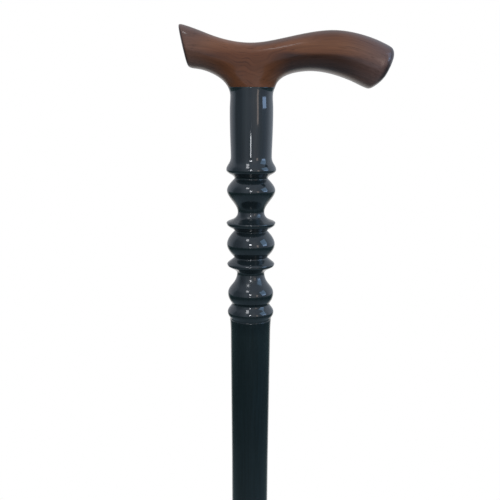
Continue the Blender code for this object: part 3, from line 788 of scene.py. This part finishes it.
def ferrule_profile(height, foot_radius):
    """Socket, rolled lip, grip rings, bell, foot and ringed tread, from the socket's floor to the axis."""
    # The socket widens as the tip of the shaft does, by the slope of the last step of its long taper
    above_tip_radius, above_tip = shaft_outside[-2]
    slope = (above_tip_radius - SHAFT_TIP_RADIUS) / (above_tip - shaft_tip - SHAFT_TIP_CHAMFER)
    floor_radius = SHAFT_TIP_RADIUS + FERRULE_CLEARANCE
    mouth_radius = floor_radius + slope * (height - shaft_tip)
    body_radius = mouth_radius + FERRULE_WALL
    lip_foot = height - LIP_HEIGHT
    points = [(0.0, FERRULE_SOLE), (floor_radius, FERRULE_SOLE)]
    points += arc(mouth_radius + MOUTH_ROUND, height - MOUTH_ROUND, MOUTH_ROUND, 180, 90, EDGE_STEPS)
    points += arc(body_radius, height - LIP_PROUD, LIP_PROUD, 90, 0, LIP_STEPS)
    points += arc(body_radius, lip_foot + LIP_PROUD, LIP_PROUD, 0, -90, LIP_STEPS)
    for number in range(GRIP_RINGS):
        crest = lip_foot - (number + 0.5) * GRIP_RING_PITCH - GRIP_RING_PROUD
        for step in range(-GRIP_RING_STEPS, GRIP_RING_STEPS + 1):
            share = step / GRIP_RING_STEPS
            swell = GRIP_RING_PROUD * 0.5 * (1 + math.cos(math.pi * share))
            points.append((body_radius + swell, crest - 2 * GRIP_RING_PROUD * share))
    bell_top = lip_foot - GRIP_RINGS * GRIP_RING_PITCH - GRIP_RING_PROUD
    bell_height = bell_top - FOOT_BAND_HEIGHT
    bell = Cut("bell", bell_height / MM, foot_radius / MM, BELL_LEAD, BELL_SETTLE)
    points += follow_cuts(body_radius, bell_top, (bell,))
    points += arc(foot_radius - FOOT_EDGE_ROUND, FOOT_EDGE_ROUND, FOOT_EDGE_ROUND, 0, -90, EDGE_STEPS)
    for number in range(TREAD_RINGS):
        outer = foot_radius - FOOT_EDGE_ROUND - TREAD_RIM_WIDTH - number * TREAD_PITCH
        inner = outer - TREAD_GROOVE_WIDTH
        points += [
            (outer, 0.0), (outer - TREAD_GROOVE_DRAFT, TREAD_GROOVE_DEPTH),
            (inner + TREAD_GROOVE_DRAFT, TREAD_GROOVE_DEPTH), (inner, 0.0),
        ]
    return points + [(0.0, 0.0)]


def mould_ferrule(finish):
    """The turned cup as a mesh, with radial channels pressed into its outer tread rings."""
    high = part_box("ferrule")[1]
    piece = set_mesh(turn("rubber_ferrule", ferrule_profile(high.z, high.x), finish, FERRULE_STEPS))
    innermost = high.x - FOOT_EDGE_ROUND - TREAD_RIM_WIDTH - TREAD_PITCH
    between = math.tau / TREAD_CHANNELS
    for vert in piece.data.vertices:
        from_axis = math.hypot(vert.co.x, vert.co.y)
        past_channel = math.atan2(vert.co.y, vert.co.x) % between
        from_channel = min(past_channel, between - past_channel) * from_axis
        if vert.co.z < TREAD_GROOVE_DEPTH / 2 and from_axis > innermost and from_channel < CHANNEL_WIDTH / 2:
            vert.co.z = TREAD_GROOVE_DEPTH
    return piece


def moulded_black_rubber():
    """The rubber of the ferrule."""
    made, tree = new_material("moulded_black_rubber")
    place = add_node(tree, "ShaderNodeTexCoord")["Object"]
    grit = add_node(
        tree, "ShaderNodeTexNoise", {"Vector": place, "Scale": 1 / SPARK_GRIT_WIDTH, "Detail": 3.0})["Fac"]
    bloom = add_node(
        tree, "ShaderNodeTexNoise", {"Vector": place, "Scale": 1 / BLOOM_WIDTH, "Detail": 3.0})["Fac"]
    tone = add_node(tree, "ShaderNodeValToRGB", {"Fac": bloom}, tone_stops(RUBBER_TONES))["Color"]
    gloss = add_node(
        tree, "ShaderNodeMapRange",
        {"Value": bloom, "To Min": RUBBER_ROUGHNESS[0], "To Max": RUBBER_ROUGHNESS[1]})[0]
    dented = add_node(
        tree, "ShaderNodeBump", {"Height": grit, "Strength": 1.0, "Distance": SPARK_GRIT_DEPTH})["Normal"]
    shader = add_node(
        tree, "ShaderNodeBsdfPrincipled",
        {"Base Color": tone, "Roughness": gloss, "IOR": 1.52, "Normal": dented})["BSDF"]
    add_node(tree, "ShaderNodeOutputMaterial", {"Surface": shader})
    return made


ferrule = mould_ferrule(moulded_black_rubber())
stands_for(ferrule, "ferrule", "ferrule")
refinish("ferrule_washer", mottled_steel("plain_stamped_washer", "#85878a", "#a9abae"))

# Floor: a pale matt board round the foot that keeps the cane's shadow, and a white sweep from there on. The
# lacquer sees the sweep behind the cane, and before it the floor of a darker room by its distance from the
# foot. The floor goes with the ferrule that stands on it, so a pull shows the cane drawn up out of it.

# Sizes in metres. Behind the cane is told by how far backwards a direction from the foot points, from 0 to 1.
FLOOR_SIZE = 8.0
BOARD_RADIUS = 0.30
FADE_RADIUS = 0.95
BOARD_COLOUR = "#e4dccf"
WHITE = "#ffffff"
BEHIND_CANE = (0.7, 0.95)
ROOM_FLOOR_RADIUS = 4.0
ROOM_FLOOR = (
    (0.0, "#90a5b5"), (0.7, "#8a9fae"), (1.1, "#6f8389"), (1.4, "#485b5e"), (1.7, "#334a4a"),
    (2.8, "#557272"),
)


def pale_board():
    """Matt pale board, white sweep and room floor in one, told apart by the ray that meets them."""
    made, tree = new_material("pale_matt_board")
    place = add_node(tree, "ShaderNodeTexCoord")["Object"]
    parts = add_node(tree, "ShaderNodeSeparateXYZ", {"Vector": place})
    distance = add_node(tree, "ShaderNodeVectorMath", {0: place}, operation="LENGTH")["Value"]
    far = add_node(
        tree, "ShaderNodeMapRange", {"Value": distance, "From Min": BOARD_RADIUS, "From Max": FADE_RADIUS},
        interpolation_type="SMOOTHSTEP")[0]
    bearing = add_node(tree, "ShaderNodeMath", {0: parts["Y"], 1: distance}, operation="DIVIDE")[0]
    behind = add_node(
        tree, "ShaderNodeMapRange",
        {"Value": bearing, "From Min": BEHIND_CANE[0], "From Max": BEHIND_CANE[1]},
        interpolation_type="SMOOTHSTEP")[0]
    board = add_node(tree, "ShaderNodeBsdfDiffuse", {"Color": srgb(BOARD_COLOUR)})["BSDF"]
    sweep = add_node(tree, "ShaderNodeEmission", {"Color": srgb(WHITE), "Strength": 1.0})["Emission"]
    pale_floor = add_node(tree, "ShaderNodeMixShader", {0: far, 1: board, 2: sweep})["Shader"]
    share = add_node(tree, "ShaderNodeMath", {0: distance, 1: ROOM_FLOOR_RADIUS}, operation="DIVIDE")[0]
    tone = add_node(
        tree, "ShaderNodeValToRGB", {"Fac": share}, tone_stops(ROOM_FLOOR, 0.0, ROOM_FLOOR_RADIUS))["Color"]
    room = add_node(tree, "ShaderNodeEmission", {"Color": tone, "Strength": 1.0})["Emission"]
    path = add_node(tree, "ShaderNodeLightPath")
    sweep_behind = add_node(tree, "ShaderNodeMath", {0: behind, 1: far}, operation="MULTIPLY")[0]
    mirrored = add_node(
        tree, "ShaderNodeMath", {0: path["Is Glossy Ray"], 1: sweep_behind}, operation="MULTIPLY")[0]
    looked_at = add_node(
        tree, "ShaderNodeMath", {0: path["Is Camera Ray"], 1: path["Is Transmission Ray"]},
        operation="MAXIMUM")[0]
    pale = add_node(tree, "ShaderNodeMath", {0: looked_at, 1: mirrored}, operation="MAXIMUM")[0]
    seen = add_node(tree, "ShaderNodeMixShader", {0: pale, 1: room, 2: pale_floor})["Shader"]
    add_node(tree, "ShaderNodeOutputMaterial", {"Surface": seen})
    return made


bpy.ops.mesh.primitive_plane_add(size=FLOOR_SIZE)
floor = bpy.context.object
floor.name = "floor"
floor.data.materials.append(pale_board())
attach(floor, "ferrule")

# Studio: a white sweep behind the cane and a room round the camera, as its black lacquer mirrors them. The
# room is given by its colour at points round the horizon, in degrees from the camera to the right. The
# edges of the sweep and the ceiling are given by how far a direction points backwards or up, from 0 to 1.
ROOM = (
    (-180, "#8d9094"), (-125, "#cbd0da"), (-105, "#becbdb"), (-90, "#7c8793"), (-60, "#8b94a4"),
    (-27, "#c5d2e2"), (-8, "#b2bacb"), (20, "#d8dbe5"), (52, "#a9b1bf"), (75, "#a4aec0"),
    (110, "#dbe8fa"), (180, "#8d9094"),
)
ROOM_BRIGHTNESS = 1.32
CEILING = "#c4cedf"
CEILING_EDGE = (0.5, 0.95)
SWEEP_EDGE = (0.85, 0.95)
MIRRORED_WHITE = 0.4


def studio_world():
    """White to the camera, and the room for the light and the reflections."""
    made = bpy.data.worlds.new("studio")
    made.use_nodes = True
    tree = made.node_tree
    tree.nodes.clear()
    towards = add_node(tree, "ShaderNodeTexCoord")["Generated"]
    parts = add_node(tree, "ShaderNodeSeparateXYZ", {"Vector": towards})
    forward = add_node(tree, "ShaderNodeMath", {0: parts["Y"], 1: -1.0}, operation="MULTIPLY")[0]
    angle = add_node(tree, "ShaderNodeMath", {0: parts["X"], 1: forward}, operation="ARCTAN2")[0]
    horizon = add_node(
        tree, "ShaderNodeMapRange", {"Value": angle, "From Min": -math.pi, "From Max": math.pi})[0]
    around = add_node(tree, "ShaderNodeValToRGB", {"Fac": horizon}, tone_stops(ROOM, -180, 180))["Color"]
    overhead = add_node(
        tree, "ShaderNodeMapRange",
        {"Value": parts["Z"], "From Min": CEILING_EDGE[0], "From Max": CEILING_EDGE[1]},
        interpolation_type="SMOOTHSTEP")[0]
    tone = add_node(
        tree, "ShaderNodeMix", {"Factor": overhead, FIRST: around, SECOND: srgb(CEILING)},
        data_type="RGBA")[MIXED]
    room = add_node(tree, "ShaderNodeBackground", {"Color": tone, "Strength": ROOM_BRIGHTNESS})["Background"]
    white = add_node(tree, "ShaderNodeBackground", {"Color": srgb(WHITE), "Strength": 1.0})["Background"]
    behind = add_node(
        tree, "ShaderNodeMapRange",
        {"Value": parts["Y"], "From Min": SWEEP_EDGE[0], "From Max": SWEEP_EDGE[1]},
        interpolation_type="SMOOTHSTEP")[0]
    sweep_behind = add_node(tree, "ShaderNodeMath", {0: behind, 1: MIRRORED_WHITE}, operation="MULTIPLY")[0]
    path = add_node(tree, "ShaderNodeLightPath")
    mirrored = add_node(
        tree, "ShaderNodeMath", {0: path["Is Glossy Ray"], 1: sweep_behind}, operation="MULTIPLY")[0]
    looked_at = add_node(
        tree, "ShaderNodeMath", {0: path["Is Camera Ray"], 1: path["Is Transmission Ray"]},
        operation="MAXIMUM")[0]
    pale = add_node(tree, "ShaderNodeMath", {0: looked_at, 1: mirrored}, operation="MAXIMUM")[0]
    seen = add_node(tree, "ShaderNodeMixShader", {0: pale, 1: room, 2: white})["Shader"]
    add_node(tree, "ShaderNodeOutputWorld", {"Surface": seen})
    bpy.context.scene.world = made


studio_world()

# Lamps: each faces a point on the column. Its place is given in degrees right of the camera and up, and by
# its distance from that point in metres, and so are its width and height. Flags keep the front and the low
# lamp off the handle, whose wood shows no spot of them.
LAMPS_FACE = 50 * MM
Lamp = namedtuple("Lamp", "name right up distance width height radiance colour")
LAMPS = (
    Lamp("ceiling_lamp", -23, 52, 1.3, 0.27, 0.24, 8.5, "#f8fbff"),
    Lamp("front_lamp", -1.8, 21.5, 1.2, 0.20, 0.11, 51.0, "#f6faff"),
    Lamp("low_lamp", -3, -5.6, 1.0, 0.07, 0.05, 21.0, "#f6faff"),
    Lamp("window", 73, 27, 1.7, 0.9, 0.85, 2.8, "#a5d2ff"),
    Lamp("window_bright_pane", 72, 8.3, 1.5, 0.60, 0.28, 7.0, "#b0d2ff"),
    Lamp("door_frame", 33, 7.5, 1.2, 0.19, 0.41, 2.8, "#ffe6d6"),
)
FLAGGED_LAMPS = ("front_lamp", "low_lamp")


def hang(lamp):
    """A rectangular lamp in its place."""
    right, up = math.radians(lamp.right), math.radians(lamp.up)
    towards = Vector((math.sin(right) * math.cos(up), -math.cos(right) * math.cos(up), math.sin(up)))
    light = bpy.data.lights.new(lamp.name, "AREA")
    light.shape = "RECTANGLE"
    light.size, light.size_y = lamp.width, lamp.height
    light.energy = lamp.radiance * math.pi * lamp.width * lamp.height
    light.color = srgb(lamp.colour)[:3]
    hung = bpy.data.objects.new(lamp.name, light)
    hung.location = Vector((0.0, 0.0, column_top - LAMPS_FACE)) + towards * lamp.distance
    hung.rotation_euler = towards.to_track_quat("Z", "Y").to_euler()
    hung.visible_camera = False
    bpy.context.scene.collection.objects.link(hung)
    return hung


below_flag = bpy.data.collections.new("below_flag")
for piece in (column, shaft):
    below_flag.objects.link(piece)
for lamp in LAMPS:
    hung = hang(lamp)
    if lamp.name in FLAGGED_LAMPS:
        hung.light_linking.receiver_collection = below_flag

# Camera: at the photograph's place, half a metre in front of the stem, a little below the seam and
# pitched down.
CAMERA_DISTANCE = 473 * MM
CAMERA_BELOW_SEAM = 6.6 * MM
CAMERA_LEFT_OF_SHAFT = 0.9 * MM
CAMERA_PITCH = 10.7
CAMERA_ROLL = -0.25
LENS = 57.6
SENSOR = 36.0
NEAREST_SEEN = 10 * MM
view = bpy.data.cameras.new("photograph")
view.lens = LENS
view.sensor_width = SENSOR
view.clip_start = NEAREST_SEEN
camera = bpy.data.objects.new("photograph", view)
camera.location = (-CAMERA_LEFT_OF_SHAFT, -CAMERA_DISTANCE, seam_height - CAMERA_BELOW_SEAM)
camera.rotation_euler = (math.radians(90 - CAMERA_PITCH), math.radians(CAMERA_ROLL), 0.0)
bpy.context.scene.collection.objects.link(camera)
bpy.context.scene.camera = camera
bpy.context.scene.view_settings.view_transform = "Standard"
